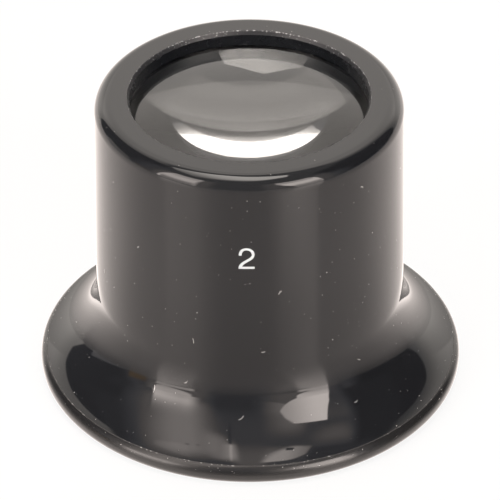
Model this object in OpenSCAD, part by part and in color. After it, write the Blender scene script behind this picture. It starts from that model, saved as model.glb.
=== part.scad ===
// Watchmaker's eye loupe: a one-piece moulded eyecup body, a biconvex lens and a threaded retaining ring.
// The origin is the centre of the eyecup's foot, +Z is the optical axis, and -Y is the side with the numeral.

/* [Body] */
// Outside diameter of the barrel at its objective end
barrel_d = 28; // [26.5:0.5:32]
// Height from the eyecup's foot to the objective face
height = 29.4; // [27:0.2:36]
// Moulding draft of the barrel, in degrees from the axis
draft = 0.98; // [0.5:0.01:1.3]
// Radius of the round between the barrel and the objective face
top_round = 1.45; // [0.6:0.05:1.7]
// Wall thickness of the barrel and of the flare
wall = 1.3; // [1:0.05:1.4]

/* [Eyecup] */
// Outside diameter of the eyecup's rim
rim_d = 39.6; // [38:0.2:44]
// How far the flare turns away from the axis, in degrees
flare_turn = 68; // [62:1:72]
// Height of the rim's outer edge
lip_h = 2.0; // [1.8:0.05:2.4]
// Radius of the rounds above and below the rim's outer edge
lip_round = 0.95; // [0.6:0.05:1.1]
// Radial width of the foot, from the rim's outer edge to the eyecup's mouth
foot_w = 2.2; // [1.9:0.1:2.6]
// Radius of the round at the foot's inner edge
mouth_round = 0.4; // [0.2:0.05:0.5]

/* [Objective opening] */
// Diameter of the clear opening in front of the lens
aperture_d = 21.7; // [20:0.1:22]
// Height of the opening's wall and its broken edge, from the lens shoulder to the objective face
shoulder_h = 1.5; // [1.3:0.05:2.4]
// Width of the broken edge round the opening
edge_break = 0.2; // [0.1:0.05:0.3]
// Depth of the broken edge below the objective face
edge_depth = 0.4; // [0.2:0.05:0.6]

/* [Lens] */
// Diameter of the lens
lens_d = 24; // [23.6:0.1:24.2]
// Radius of curvature of both of its faces
lens_curve = 47; // [42:0.5:80]
// Thickness of the ground edge
lens_edge = 1.0; // [0.8:0.1:1.6]
// Bevel on both rims of the ground edge
lens_bevel = 0.15; // [0.05:0.05:0.2]

/* [Retaining ring] */
// Height of the ring
ring_h = 3.0; // [2.4:0.1:3.4]
// Diameter of the ring's clear bore
ring_bore_d = 21.8; // [21:0.1:22.2]
// Chamfer on the ring's corners
ring_chamfer = 0.2; // [0.1:0.05:0.3]
// Width of each spanner notch
notch_w = 1.6; // [1:0.1:2.4]
// Depth of each spanner notch
notch_h = 1.0; // [0.6:0.1:1.4]

/* [Thread] */
// Rise of the thread in one turn
pitch = 0.75; // [0.7:0.01:0.8]
// Height of the thread from root to crest
thread_h = 0.4; // [0.3:0.05:0.4]
// Width of the crest of the ring's thread
crest_w = 0.12; // [0.08:0.01:0.16]
// Slope of the thread's flanks, as width gained for each unit of height on one side
flank = 0.41; // [0.35:0.01:0.45]

/* [Fits] */
// Radial clearance of the lens in its seat bore
lens_fit = 0.1; // [0.05:0.05:0.15]
// Clearance between the lens and the shoulder, and between the lens and the ring
seat_fit = 0.05; // [0.02:0.01:0.1]
// Step from the seat bore out to the crests of the body's thread, so the lens passes them
pass_step = 0.15; // [0.1:0.05:0.2]
// Radial clearance between the ring's thread and the body's
thread_fit = 0.1; // [0.08:0.01:0.1]
// Clearance between the flanks of the two threads, along the axis
flank_fit = 0.06; // [0.05:0.01:0.08]

/* [Hidden] */
$fn = 128;
over = 1;

// Outer profile: the flare is one arc that leaves the drafted barrel and ends on the lip's upper round
barrel_r = barrel_d / 2;
rim_r = rim_d / 2;
lip_r = min(lip_round, 0.48 * lip_h);
lip_x = rim_r - lip_r;
lip_z = lip_h - lip_r;
flare_reach = lip_x + lip_r * cos(flare_turn)
            - tan(draft) * (height - lip_z - lip_r * sin(flare_turn));
flare_gain = cos(draft) - cos(flare_turn) - tan(draft) * (sin(flare_turn) - sin(draft));
flare_r = (flare_reach - barrel_r) / flare_gain;
flare_x = lip_x + (lip_r + flare_r) * cos(flare_turn);
flare_z = lip_z + (lip_r + flare_r) * sin(flare_turn);

// Inner profile: the flare's inner arc shares that centre, one wall further out
hollow_r = flare_r + wall;
mouth_r = rim_r - foot_w;
mouth_turn = acos((flare_x - mouth_r) / hollow_r);

// Heights along the axis, from the objective face down
aperture_r = aperture_d / 2;
shoulder_z = height - shoulder_h;
lens_r = lens_d / 2;
seat_r = lens_r + lens_fit;
lens_touch_z = shoulder_z - seat_fit;
front_vertex_z = lens_touch_z + sag(aperture_r);
edge_top_z = front_vertex_z - sag(lens_r);
edge_foot_z = edge_top_z - lens_edge;
back_vertex_z = edge_foot_z - sag(lens_r);
ring_bore_r = ring_bore_d / 2;
ring_top_z = back_vertex_z + sag(ring_bore_r) - seat_fit;
ring_foot_z = ring_top_z - ring_h;

// Thread: the body's crests stand at crest_r, and the ring's crests reach into them
body_crest_r = seat_r + pass_step;
body_root_r = body_crest_r + thread_h;
ring_crest_r = body_root_r - thread_fit;
ring_root_r = body_crest_r - thread_fit;
thread_top_z = edge_foot_z + lens_bevel;
blend_in = 0.1;
ring_ridge_half = crest_w / 2 + flank * (thread_h + blend_in);
thread_start_z = ring_foot_z + ring_chamfer + ring_ridge_half;
ring_turns = (ring_h - 2 * ring_chamfer - 2 * ring_ridge_half) / pitch;
groove_turns = ring_turns + 1.25;
groove_start_z = thread_start_z - pitch;
steps_per_turn = 48;
fade_steps = 12;

// Drop of a lens face at a radius from its vertex
function sag(r) = lens_curve - sqrt(lens_curve * lens_curve - r * r);

// Radius of the barrel's drafted outer side at a height
function barrel_at(z) = barrel_r + (height - z) * tan(draft);

// Point on an arc round the flare's centre, at an angle turned from the axis
function flare_point(r, turn) = [flare_x - r * cos(turn), flare_z - r * sin(turn)];

// Share of the thread's full height at a step along it, fading in and out at its ends
function fade(i, last) = min(1, (i + 0.5) / fade_steps, (last - i + 0.5) / fade_steps);

// Half of the body's outer section, solid down to the axis
module outer_section() {
    top_z = height - top_round;
    top_x = barrel_at(top_z) - top_round / cos(draft);
    difference() {
        union() {
            polygon([
                [0, 0], [lip_x, 0], [lip_x, lip_z],
                flare_point(flare_r, flare_turn), [flare_x, flare_z], flare_point(flare_r, draft),
                [top_x + top_round * cos(draft), top_z + top_round * sin(draft)],
                [top_x, top_z], [top_x, height], [0, height]
            ]);
            translate([top_x, top_z])
                circle(top_round);
            translate([lip_x, lip_z])
                circle(lip_r);
            translate([lip_x, lip_r])
                circle(lip_r);
            polygon([[0, lip_r], [rim_r, lip_r], [rim_r, lip_z], [0, lip_z]]);
        }
        translate([flare_x, flare_z])
            circle(flare_r);
    }
}

// Half of the eyecup's hollow, from below the foot up to the thread
module eyecup_hollow() {
    skirt_top_z = ring_foot_z;
    difference() {
        polygon([
            [0, -over], [mouth_r, -over], flare_point(hollow_r, mouth_turn), [flare_x, flare_z],
            flare_point(hollow_r, draft), [barrel_at(skirt_top_z) - wall, skirt_top_z], [0, skirt_top_z]
        ]);
        translate([flare_x, flare_z])
            circle(hollow_r);
    }
    difference() {
        translate([mouth_r - over, -over])
            square([over + mouth_round, over + mouth_round]);
        translate([mouth_r + mouth_round, mouth_round])
            circle(mouth_round);
        translate([mouth_r + mouth_round, -2 * over])
            square(2 * over);
    }
}

// Half of the bores above the skirt: the thread's crests, the lens seat and the clear opening
module objective_bores() {
    translate([0, ring_foot_z - over])
        square([body_crest_r, thread_top_z - ring_foot_z + over]);
    translate([0, thread_top_z - over])
        square([seat_r, shoulder_z - thread_top_z + over]);
    translate([0, shoulder_z - over])
        square([aperture_r, shoulder_h + 2 * over]);
    polygon([
        [0, height - edge_depth], [aperture_r, height - edge_depth],
        [aperture_r + edge_break, height], [aperture_r + edge_break, height + over], [0, height + over]
    ]);
}

// Helical ridge of trapezoid section, with faded ends; its crest stands at crest_r
module thread_ridge(root_r, crest_r, root_half, crest_half, start_z, turns) {
    last = round(turns * steps_per_turn);
    sections = [
        for (i = [0:last])
            let (
                share = fade(i, last),
                r = root_r + (crest_r - root_r) * share,
                half = root_half + (crest_half - root_half) * share,
                turn = 360 * i / steps_per_turn,
                z = start_z + pitch * i / steps_per_turn
            )
            each [
                [root_r * cos(turn), root_r * sin(turn), z - root_half],
                [r * cos(turn), r * sin(turn), z - half],
                [r * cos(turn), r * sin(turn), z + half],
                [root_r * cos(turn), root_r * sin(turn), z + root_half]
            ]
    ];
    sides = [
        for (i = [0:last - 1], k = [0:3])
            let (a = 4 * i + k, b = 4 * i + (k + 1) % 4)
            each [[a, b, b + 4], [a, b + 4, a + 4]]
    ];
    ends = [[0, 3, 2], [0, 2, 1], [4 * last, 4 * last + 1, 4 * last + 2], [4 * last, 4 * last + 2, 4 * last + 3]];
    polyhedron(sections, concat(sides, ends));
}

module loupe_body() {
    color([0.035, 0.033, 0.033])
    difference() {
        rotate_extrude()
            difference() {
                outer_section();
                eyecup_hollow();
                objective_bores();
            }
        thread_ridge(
            body_crest_r - blend_in, body_root_r,
            crest_w / 2 + flank_fit + flank * (ring_crest_r - body_crest_r + blend_in),
            crest_w / 2 + flank_fit - flank * thread_fit,
            groove_start_z, groove_turns
        );
    }
}

module lens() {
    color([0.86, 0.92, 0.93, 0.35])
    rotate_extrude()
        intersection() {
            translate([0, front_vertex_z - lens_curve])
                circle(lens_curve, $fn = 720);
            translate([0, back_vertex_z + lens_curve])
                circle(lens_curve, $fn = 720);
            polygon([
                [0, back_vertex_z - over], [lens_r - lens_bevel - over, edge_foot_z - over],
                [lens_r - lens_bevel, edge_foot_z],
                [lens_r, edge_foot_z + lens_bevel], [lens_r, edge_top_z - lens_bevel],
                [lens_r - lens_bevel, edge_top_z], [lens_r - lens_bevel - over, edge_top_z + over],
                [0, front_vertex_z + over]
            ]);
        }
}

module retaining_ring() {
    color([0.05, 0.05, 0.05])
    difference() {
        union() {
            rotate_extrude()
                polygon([
                    [ring_bore_r + ring_chamfer, ring_foot_z], [ring_root_r - ring_chamfer, ring_foot_z],
                    [ring_root_r, ring_foot_z + ring_chamfer], [ring_root_r, ring_top_z - ring_chamfer],
                    [ring_root_r - ring_chamfer, ring_top_z], [ring_bore_r, ring_top_z],
                    [ring_bore_r, ring_foot_z + ring_chamfer]
                ]);
            thread_ridge(
                ring_root_r - blend_in, ring_crest_r,
                ring_ridge_half, crest_w / 2,
                thread_start_z, ring_turns
            );
        }
        for (side = [0, 180])
            rotate(side)
                translate([ring_bore_r - over, -notch_w / 2, ring_foot_z - over])
                    cube([ring_root_r - ring_bore_r + 2 * over, notch_w, notch_h + over]);
    }
}

loupe_body();
lens();
retaining_ring();
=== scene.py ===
"""Looks of a watchmaker's eye loupe: moulded body, ground lens, retaining ring, studio and camera.

Lengths are in metres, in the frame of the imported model: the origin is the centre of the eyecup's foot, +Z is
the optical axis, and -Y is the side with the numeral.
"""

import logging
import math
import random
from dataclasses import dataclass, field
from enum import Enum, IntEnum
from typing import Callable, Iterable, Sequence

import bmesh
import bpy
from mathutils import Matrix, Vector
from mathutils.geometry import tessellate_polygon


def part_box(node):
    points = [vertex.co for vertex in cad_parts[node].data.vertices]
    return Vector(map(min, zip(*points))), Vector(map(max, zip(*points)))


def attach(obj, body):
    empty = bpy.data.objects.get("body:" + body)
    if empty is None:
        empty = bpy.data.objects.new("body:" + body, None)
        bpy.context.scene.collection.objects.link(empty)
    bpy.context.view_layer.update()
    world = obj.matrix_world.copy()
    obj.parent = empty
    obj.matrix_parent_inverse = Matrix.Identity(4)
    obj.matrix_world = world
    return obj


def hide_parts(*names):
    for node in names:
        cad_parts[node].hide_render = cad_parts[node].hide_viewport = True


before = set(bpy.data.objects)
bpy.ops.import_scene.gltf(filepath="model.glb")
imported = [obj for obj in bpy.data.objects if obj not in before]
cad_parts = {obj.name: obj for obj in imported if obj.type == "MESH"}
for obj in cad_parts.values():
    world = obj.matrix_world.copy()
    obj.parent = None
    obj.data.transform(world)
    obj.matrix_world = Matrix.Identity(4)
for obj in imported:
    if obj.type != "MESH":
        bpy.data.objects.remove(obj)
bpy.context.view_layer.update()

MM = 0.001
TOUCHING = 1e-9
PLASTIC_INDEX = 1.5
log = logging.getLogger("loupe")

Colour = tuple[float, float, float]
Point2 = tuple[float, float]
Socket = bpy.types.NodeSocket
Material = bpy.types.Material

WHITE: Colour = (1.0, 1.0, 1.0)

# Tints of the studio's light, with the same green part, and the levels between which dim light turns bright.
WARM: Colour = (0.965, 0.87, 0.82)
COOL: Colour = (0.86, 0.87, 0.94)
ROOM: Colour = (0.895, 0.87, 0.86)
PAPER: Colour = (0.93, 0.87, 0.815)
DIM_TO_BRIGHT: Point2 = (0.35, 1.0)


class Ray(Enum):
    """Kinds of ray that a shader can tell apart."""

    CAMERA = "Is Camera Ray"
    GLOSSY = "Is Glossy Ray"
    TRANSMISSION = "Is Transmission Ray"


class BodyZone(IntEnum):
    """Bands of the moulded body that have a finish of their own."""

    POLISHED = 0
    CUT_EDGE = 1
    BORE = 2
    INSIDE = 3
    LIP = 4
    CREASE = 5
    TORN_EDGE = 6


class LensZone(IntEnum):
    """Bands of the lens that have a finish of their own."""

    POLISHED = 0
    GROUND = 1


def maths(operation: str, swapped: bool = False) -> Callable[..., "Value"]:
    """Makes a method of Value that adds one Math node.

    Args:
        operation: The node's operation.
        swapped: Whether the value comes after the other input.

    Returns:
        The method.
    """

    def method(value: "Value", *others: "Number") -> "Value":
        """Adds the node and wraps its result."""
        inputs = (*others, value) if swapped else (value, *others)
        node = value.shader.node("ShaderNodeMath", {"operation": operation}, dict(enumerate(inputs)))
        return Value(value.shader, node.outputs[0])

    return method


class Value:
    """A socket that carries a number, so that shader maths reads as Python."""

    __add__ = maths("ADD")
    __radd__ = maths("ADD", swapped=True)
    __sub__ = maths("SUBTRACT")
    __rsub__ = maths("SUBTRACT", swapped=True)
    __mul__ = maths("MULTIPLY")
    __rmul__ = maths("MULTIPLY", swapped=True)
    __pow__ = maths("POWER")
    __gt__ = maths("GREATER_THAN")
    __abs__ = maths("ABSOLUTE")
    most = maths("MAXIMUM")
    angle = maths("ARCTAN2")

    def __init__(self, shader: "Shader", socket: Socket) -> None:
        """Keeps the socket and the tree it belongs to."""
        self.shader = shader
        self.socket = socket

    def hypot(self, other: "Value") -> "Value":
        """Length of the two taken as the sides of a right angle."""
        return (self * self + other * other) ** 0.5

    def turn(self, other: "Value") -> "Value":
        """Angle, in degrees, of this as the rise over the other as the run."""
        return self.angle(other) * math.degrees(1)

    def step(self, low: float, high: float) -> "Value":
        """Smooth rise from 0 at one value to 1 at another, which may be the lower.

        Args:
            low: Value at which the result is 0.
            high: Value at which the result is 1.

        Returns:
            The smooth step.
        """
        settings = {"interpolation_type": "SMOOTHSTEP", "clamp": True}
        first, last, start, end = (low, high, 0.0, 1.0) if low < high else (high, low, 1.0, 0.0)
        inputs = {"Value": self, "From Min": first, "From Max": last, "To Min": start, "To Max": end}
        return Value(self.shader, self.shader.node("ShaderNodeMapRange", settings, inputs).outputs["Result"])


Number = Value | float


class Shader:
    """A node tree in which one method makes every node."""

    def __init__(self, tree: bpy.types.NodeTree) -> None:
        """Takes over a tree and empties it."""
        self.tree = tree
        tree.nodes.clear()

    def node(self, kind: str, settings: dict | None = None, inputs: dict | None = None) -> bpy.types.Node:
        """Adds a node.

        Args:
            kind: The node's type.
            settings: Its properties, set before its inputs.
            inputs: Values or links, by socket name or number.

        Returns:
            The new node.
        """
        node = self.tree.nodes.new(kind)
        for name, value in (settings or {}).items():
            setattr(node, name, value)
        for name, value in (inputs or {}).items():
            socket = node.inputs[name]
            if isinstance(value, Value):
                value = value.socket
            if isinstance(value, Socket):
                self.tree.links.new(value, socket)
            elif isinstance(value, tuple) and len(value) == 3 and socket.type == "RGBA":
                socket.default_value = (*value, 1.0)
            else:
                socket.default_value = value
        return node

    def place(self, space: str = "Object") -> Socket:
        """Place on the object in metres, or another of the coordinates that Blender knows."""
        return self.node("ShaderNodeTexCoord").outputs[space]

    def parts(self, vector: Socket) -> tuple[Value, Value, Value]:
        """The x, y and z of a vector."""
        node = self.node("ShaderNodeSeparateXYZ", inputs={0: vector})
        return tuple(Value(self, part) for part in node.outputs)

    def vector(self, x: Number, y: Number, z: Number) -> Socket:
        """A vector from three values."""
        return self.node("ShaderNodeCombineXYZ", inputs={0: x, 1: y, 2: z}).outputs[0]

    def drawn_round(self, place: Socket, squeeze: float) -> Socket:
        """The place squeezed towards the axis, so that a pattern on it is drawn out round the axis."""
        x, y, z = self.parts(place)
        return self.vector(x * squeeze, y * squeeze, z)

    def ray(self, *kinds: Ray) -> Value:
        """1 for rays of the kinds named, otherwise 0."""
        path = self.node("ShaderNodeLightPath").outputs
        found = Value(self, path[kinds[0].value])
        for kind in kinds[1:]:
            found = found.most(Value(self, path[kind.value]))
        return found

    def mix(self, share: Number, first: object, second: object) -> Socket:
        """Mixes two colours, where the share is that of the second."""
        return self.node("ShaderNodeMix", {"data_type": "RGBA"}, {0: share, 6: first, 7: second}).outputs[2]

    def noise(self, place: Socket, size: float, detail: float = 2.0) -> Value:
        """Cloudy noise from 0 to 1, with clouds of a size in metres."""
        inputs = {"Vector": place, "Scale": 1 / size, "Detail": detail}
        return Value(self, self.node("ShaderNodeTexNoise", inputs=inputs).outputs[0])

    def spots(self, place: Socket, cell: float) -> Value:
        """Distance to the nearest of scattered points, in cells of a size in metres."""
        inputs = {"Vector": place, "Scale": 1 / cell}
        return Value(self, self.node("ShaderNodeTexVoronoi", inputs=inputs).outputs[0])

    def bump(self, height: Value, distance: float, strength: float) -> Socket:
        """Normal from a height from 0 to 1 that stands for a distance in metres."""
        inputs = {"Height": height, "Distance": distance, "Strength": strength}
        return self.node("ShaderNodeBump", inputs=inputs).outputs[0]

    def along(self, spot: Socket, way: Point2) -> Value:
        """Distance of a spot along a direction in the plane."""
        node = self.node("ShaderNodeVectorMath", {"operation": "DOT_PRODUCT"}, {0: spot, 1: (*way, 0.0)})
        return Value(self, node.outputs["Value"])

    def light(self, level: Value, dim: Colour = COOL, bright: Colour = WARM) -> Socket:
        """Colour of light by its level, which may be brighter than 1.

        Args:
            level: Brightness of the green part.
            dim: Tint of dim light.
            bright: Tint of bright light.

        Returns:
            The colour.
        """
        tint = self.mix(level.step(*DIM_TO_BRIGHT), dim, bright)
        inputs = {0: tint, "Scale": level * (1 / bright[1])}
        return self.node("ShaderNodeVectorMath", {"operation": "SCALE"}, inputs).outputs[0]

    def emission(self, colour: object, strength: float = 1.0) -> Socket:
        """Light of a colour and strength."""
        return self.node("ShaderNodeEmission", inputs={"Color": colour, "Strength": strength}).outputs[0]

    def choose(self, share: Number, first: Socket, second: Socket) -> Socket:
        """Mixes two shaders, where the share is that of the second."""
        return self.node("ShaderNodeMixShader", inputs={0: share, 1: first, 2: second}).outputs[0]

    def surface(self, result: Socket) -> None:
        """Ends a material with its surface."""
        self.node("ShaderNodeOutputMaterial", inputs={"Surface": result})


def new_material(name: str) -> tuple[Material, Shader]:
    """Makes an empty material and the shader of its tree."""
    material = bpy.data.materials.new(name)
    material.use_nodes = True
    return material, Shader(material.node_tree)


def scaled(colour: Colour, factor: float) -> Colour:
    """A colour made darker or lighter."""
    return tuple(factor * part for part in colour)


@dataclass(frozen=True)
class Finish:
    """A surface made by one Principled node, whose inputs each kind of finish works out."""

    name: str
    base: Colour

    def inputs(self, shader: Shader, place: Socket) -> dict[str, object]:
        """Works out the node's inputs.

        Args:
            shader: Shader of the material.
            place: Place on the object.

        Returns:
            Values or links, by socket name.
        """
        raise NotImplementedError

    def material(self) -> Material:
        """Builds the finish."""
        material, shader = new_material(self.name)
        inputs = self.inputs(shader, shader.place())
        shader.surface(shader.node("ShaderNodeBsdfPrincipled", inputs=inputs).outputs[0])
        return material


@dataclass(frozen=True)
class PolishedPlastic(Finish):
    """Glossy black moulding, with faint flow marks and fine dust."""

    name: str = "polished_black_plastic"
    base: Colour = (0.0071, 0.0075, 0.0087)
    dust: Colour = (0.30, 0.29, 0.28)
    roughness: float = 0.045
    uneven: float = 0.4
    dust_roughness: float = 0.5
    dust_size: float = 0.045 * MM
    dust_cell: float = 1.1 * MM
    flow_size: float = 9 * MM
    flow_depth: float = 0.02 * MM

    def inputs(self, shader: Shader, place: Socket) -> dict[str, object]:
        """Scatters dust, and lets the gloss and the surface flow a little."""
        edge = self.dust_size / self.dust_cell
        dust = shader.spots(place, self.dust_cell).step(edge, 0.5 * edge)
        haze = shader.noise(place, self.flow_size)
        flow = shader.noise(place, self.flow_size, 0.0)
        return {
            "Base Color": shader.mix(dust, self.base, self.dust),
            "Roughness": self.roughness * (1 + self.uneven * (haze - 0.5)) + self.dust_roughness * dust,
            "IOR": PLASTIC_INDEX,
            "Normal": shader.bump(flow, self.flow_depth, 0.5),
        }


@dataclass(frozen=True)
class CutPlastic(Finish):
    """Freshly cut edge of the moulding, ripped in places. Lighter copies paint a highlight on the crease and a
    glint on the opening's edge.
    """

    name: str = "cut_black_plastic"
    base: Colour = (0.012, 0.0125, 0.0145)
    # Pale spots: ripped places on the cut edge, dust on the crease, and a painted glint on the opening's outer
    # edge.
    spot_tone: Colour = (0.22, 0.22, 0.22)
    speckles: Point2 = (0.60, 0.70)
    tear_size: float = 0.22 * MM
    roughness: float = 0.42
    uneven: float = 0.2
    mark_size: float = 0.1 * MM
    mark_depth: float = 0.03 * MM

    def inputs(self, shader: Shader, place: Socket) -> dict[str, object]:
        """Scatters pale spots, and draws the tool's marks round the axis."""
        speckles = shader.noise(place, self.tear_size, 4.0).step(*self.speckles)
        marks = shader.noise(shader.drawn_round(place, 0.5), self.mark_size, 3.0)
        return {
            "Base Color": shader.mix(speckles, self.base, self.spot_tone),
            "Roughness": self.roughness + self.uneven * (marks - 0.5),
            "IOR": PLASTIC_INDEX,
            "Normal": shader.bump(marks, self.mark_depth, 0.6),
        }


@dataclass(frozen=True)
class TurnedPlastic(Finish):
    """Satin black plastic with the fine rings that a turning tool leaves."""

    name: str = "turned_black_plastic"
    base: Colour = (0.0075, 0.0085, 0.0105)
    roughness: float = 0.26
    uneven: float = 0.5
    grain_size: float = 0.5 * MM
    ring_pitch: float = 0.16 * MM
    ring_depth: float = 0.01 * MM

    def inputs(self, shader: Shader, place: Socket) -> dict[str, object]:
        """Draws the rings round the axis, and lets the gloss change with a grain."""
        rings = shader.noise(shader.drawn_round(place, 0.02), self.ring_pitch, 3.0)
        grain = shader.noise(place, self.grain_size, 3.0)
        return {
            "Base Color": self.base,
            "Roughness": self.roughness * (1 + self.uneven * (grain - 0.5)),
            "IOR": PLASTIC_INDEX,
            "Normal": shader.bump(rings, self.ring_depth, 0.5),
        }


@dataclass(frozen=True)
class OpticalGlass(Finish):
    """Polished crown glass, faintly smeared."""

    name: str = "optical_glass"
    base: Colour = WHITE
    index: float = 1.523
    smear: float = 0.012
    smear_size: float = 3 * MM

    def inputs(self, shader: Shader, place: Socket) -> dict[str, object]:
        """Dulls the clear glass where it is smeared."""
        smear = shader.noise(place, self.smear_size, 3.0).step(0.62, 0.8)
        return {"Base Color": self.base, "Roughness": self.smear * smear, "IOR": self.index,
                "Transmission Weight": 1.0}


@dataclass(frozen=True)
class Mottled(Finish):
    """A matt surface that one noise makes uneven."""

    shades: Point2 = (1.0, 1.0)
    shade_edges: Point2 | None = None
    size: float = 0.1 * MM
    detail: float = 3.0
    roughness: float = 0.5
    uneven: float = 0.0
    depth: float = 0.0

    def inputs(self, shader: Shader, place: Socket) -> dict[str, object]:
        """Lets the noise change the tone, and the gloss and the surface where they are to be uneven."""
        noise = shader.noise(place, self.size, self.detail)
        share = noise.step(*self.shade_edges) if self.shade_edges else noise
        tones = (scaled(self.base, shade) for shade in self.shades)
        inputs = {"Base Color": shader.mix(share, *tones), "Roughness": self.roughness}
        if self.uneven:
            inputs["Roughness"] = self.roughness + self.uneven * noise
        if self.depth:
            inputs["Normal"] = shader.bump(noise, self.depth, 0.6)
        return inputs


GROUND_GLASS = Mottled("ground_glass_edge", (0.30, 0.31, 0.32), shades=(0.8, 1.2), size=0.08 * MM, detail=4.0,
                       roughness=0.55, depth=0.02 * MM)
WHITE_INK = Mottled("white_ink", (0.57, 0.61, 0.63), shades=(1.0, 0.6), shade_edges=(0.62, 0.75),
                    size=0.15 * MM, uneven=0.1)
PALE_LINT = Mottled("pale_lint", (0.66, 0.65, 0.64), shades=(0.4, 1.6), size=2 * MM, detail=1.0,
                    roughness=0.8)

# The finish of each band of the moulded body.
BODY_FINISHES: dict[BodyZone, Finish] = {
    BodyZone.POLISHED: PolishedPlastic(),
    BodyZone.CUT_EDGE: CutPlastic(),
    BodyZone.BORE: TurnedPlastic(),
    BodyZone.INSIDE: TurnedPlastic("satin_black_plastic", (0.012, 0.012, 0.0125), roughness=0.3, uneven=0.04,
                                   ring_depth=0.0004 * MM),
    BodyZone.LIP: TurnedPlastic("buffed_lip", (0.0115, 0.011, 0.011), roughness=0.2, uneven=0.9,
                                ring_pitch=0.3 * MM),
    # The crease is painted lighter than the polished plastic as a highlight line along the edge, with pale
    # dust specks on it.
    BodyZone.CREASE: CutPlastic("crease_highlight_and_dust", (0.022, 0.021, 0.021), spot_tone=(0.4, 0.39, 0.38)),
    # The opening's outer edge, painted pale with pale spots: a painted glint where the edge catches light.
    BodyZone.TORN_EDGE: CutPlastic("painted_glint_edge", (0.05, 0.05, 0.052), spot_tone=(0.55, 0.55, 0.55),
                                   speckles=(0.52, 0.66)),
}


def polar(reach: float, angle: float) -> Point2:
    """Run and rise of a length at an angle in degrees."""
    return reach * math.cos(math.radians(angle)), reach * math.sin(math.radians(angle))


@dataclass
class Band:
    """One strip of a turned section, from one circle to the next."""

    start: Point2
    end: Point2
    start_normal: Point2
    end_normal: Point2
    zone: int


@dataclass
class Section:
    """A turned section drawn with its solid on the left of the pen."""

    pen: Point2
    zone: int = 0
    bands: list[Band] = field(default_factory=list)

    def line(self, radius: float, height: float, pieces: int = 1) -> "Section":
        """Draws a straight stroke.

        Args:
            radius: Radius of its end.
            height: Height of its end.
            pieces: Number of bands that it is cut into.

        Returns:
            The section itself.
        """
        run, rise = radius - self.pen[0], height - self.pen[1]
        length = math.hypot(run, rise)
        normal = (rise / length, -run / length)
        first = self.pen
        for k in range(1, pieces + 1):
            end = (first[0] + run * k / pieces, first[1] + rise * k / pieces)
            self.bands.append(Band(self.pen, end, normal, normal, self.zone))
            self.pen = end
        return self

    def arc(self, centre: Point2, radius: float, start: float, end: float, step: float) -> "Section":
        """Draws an arc between two angles in degrees, counter-clockwise where the surface is convex.

        Args:
            centre: Radius and height of the arc's centre.
            radius: The arc's own radius.
            start: First angle.
            end: Last angle, the lower one where the surface is hollow.
            step: Greatest angle of one band.

        Returns:
            The section itself.
        """
        side = 1.0 if end > start else -1.0
        pieces = max(1, math.ceil(abs(end - start) / step))
        rays = [polar(1.0, start + (end - start) * k / pieces) for k in range(pieces + 1)]
        places = [(centre[0] + radius * run, centre[1] + radius * rise) for run, rise in rays]
        normals = [(side * run, side * rise) for run, rise in rays]
        for k in range(pieces):
            self.bands.append(Band(*places[k:k + 2], *normals[k:k + 2], self.zone))
        self.pen = places[-1]
        return self

    def finish(self, zone: int) -> "Section":
        """Sets the finish of the strokes that follow."""
        self.zone = zone
        return self


def add_object(name: str, mesh: bpy.types.Mesh, *materials: Material) -> bpy.types.Object:
    """Puts a mesh with its materials into the scene."""
    for material in materials:
        mesh.materials.append(material)
    piece = bpy.data.objects.new(name, mesh)
    bpy.context.scene.collection.objects.link(piece)
    return piece


def add_built(name: str, work: bmesh.types.BMesh, material: Material) -> bpy.types.Object:
    """Puts a mesh under construction into the scene and frees it."""
    mesh = bpy.data.meshes.new(name)
    work.to_mesh(mesh)
    work.free()
    return add_object(name, mesh, material)


def turn_section(
    name: str,
    section: Section,
    materials: Sequence[Material],
    steps: int,
    relief: Callable[[float, float], float] | None = None,
    relief_bands: range = range(0),
) -> bpy.types.Object:
    """Turns a section about the axis into a smooth mesh with the section's own normals.

    Args:
        name: The piece's name.
        section: Closed section, or one whose ends stand on the axis.
        materials: Materials by zone.
        steps: Number of steps round the axis.
        relief: Growth of the radius by angle and height.
        relief_bands: Numbers of the bands that carry the relief.

    Returns:
        The new object.
    """
    bands = section.bands
    rows = [band.start for band in bands]
    if math.dist(rows[0], bands[-1].end) > TOUCHING:
        rows.append(bands[-1].end)
    turns = [2 * math.pi * k / steps for k in range(steps)]
    vertices, starts, on_axis = [], [], []
    for number, (radius, height) in enumerate(rows):
        starts.append(len(vertices))
        on_axis.append(radius < TOUCHING)
        if on_axis[-1]:
            vertices.append((0.0, 0.0, height))
            continue
        relieved = number in relief_bands or number - 1 in relief_bands
        for angle in turns:
            r = radius + (relief(angle, height) if relieved else 0.0)
            vertices.append((r * math.cos(angle), r * math.sin(angle), height))
    faces, normals = [], []
    for number, band in enumerate(bands):
        after = (number + 1) % len(rows)
        low, high = starts[number], starts[after]
        for k in range(steps):
            beside = (k + 1) % steps
            # A corner is its vertex, its step round the axis and the normal of its end of the band.
            corners = [(low + k, k, band.start_normal), (low + beside, beside, band.start_normal),
                       (high + beside, beside, band.end_normal), (high + k, k, band.end_normal)]
            if on_axis[number]:
                corners = [(low, k, band.start_normal), *corners[2:]]
            elif on_axis[after]:
                corners = [*corners[:2], (high, k, band.end_normal)]
            faces.append([vertex for vertex, _, _ in corners])
            if number in relief_bands:
                first, second, last = (Vector(vertices[faces[-1][i]]) for i in (0, 1, 3))
                normals.extend([(second - first).cross(last - first).normalized()] * len(corners))
                continue
            for _, place, (run, rise) in corners:
                normals.append((run * math.cos(turns[place]), run * math.sin(turns[place]), rise))
    mesh = bpy.data.meshes.new(name)
    mesh.from_pydata(vertices, [], faces)
    piece = add_object(name, mesh, *materials)
    mesh.polygons.foreach_set("material_index", [int(band.zone) for band in bands for _ in turns])
    mesh.shade_smooth()
    mesh.normals_split_custom_set(normals)
    mesh.update()
    return piece


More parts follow.
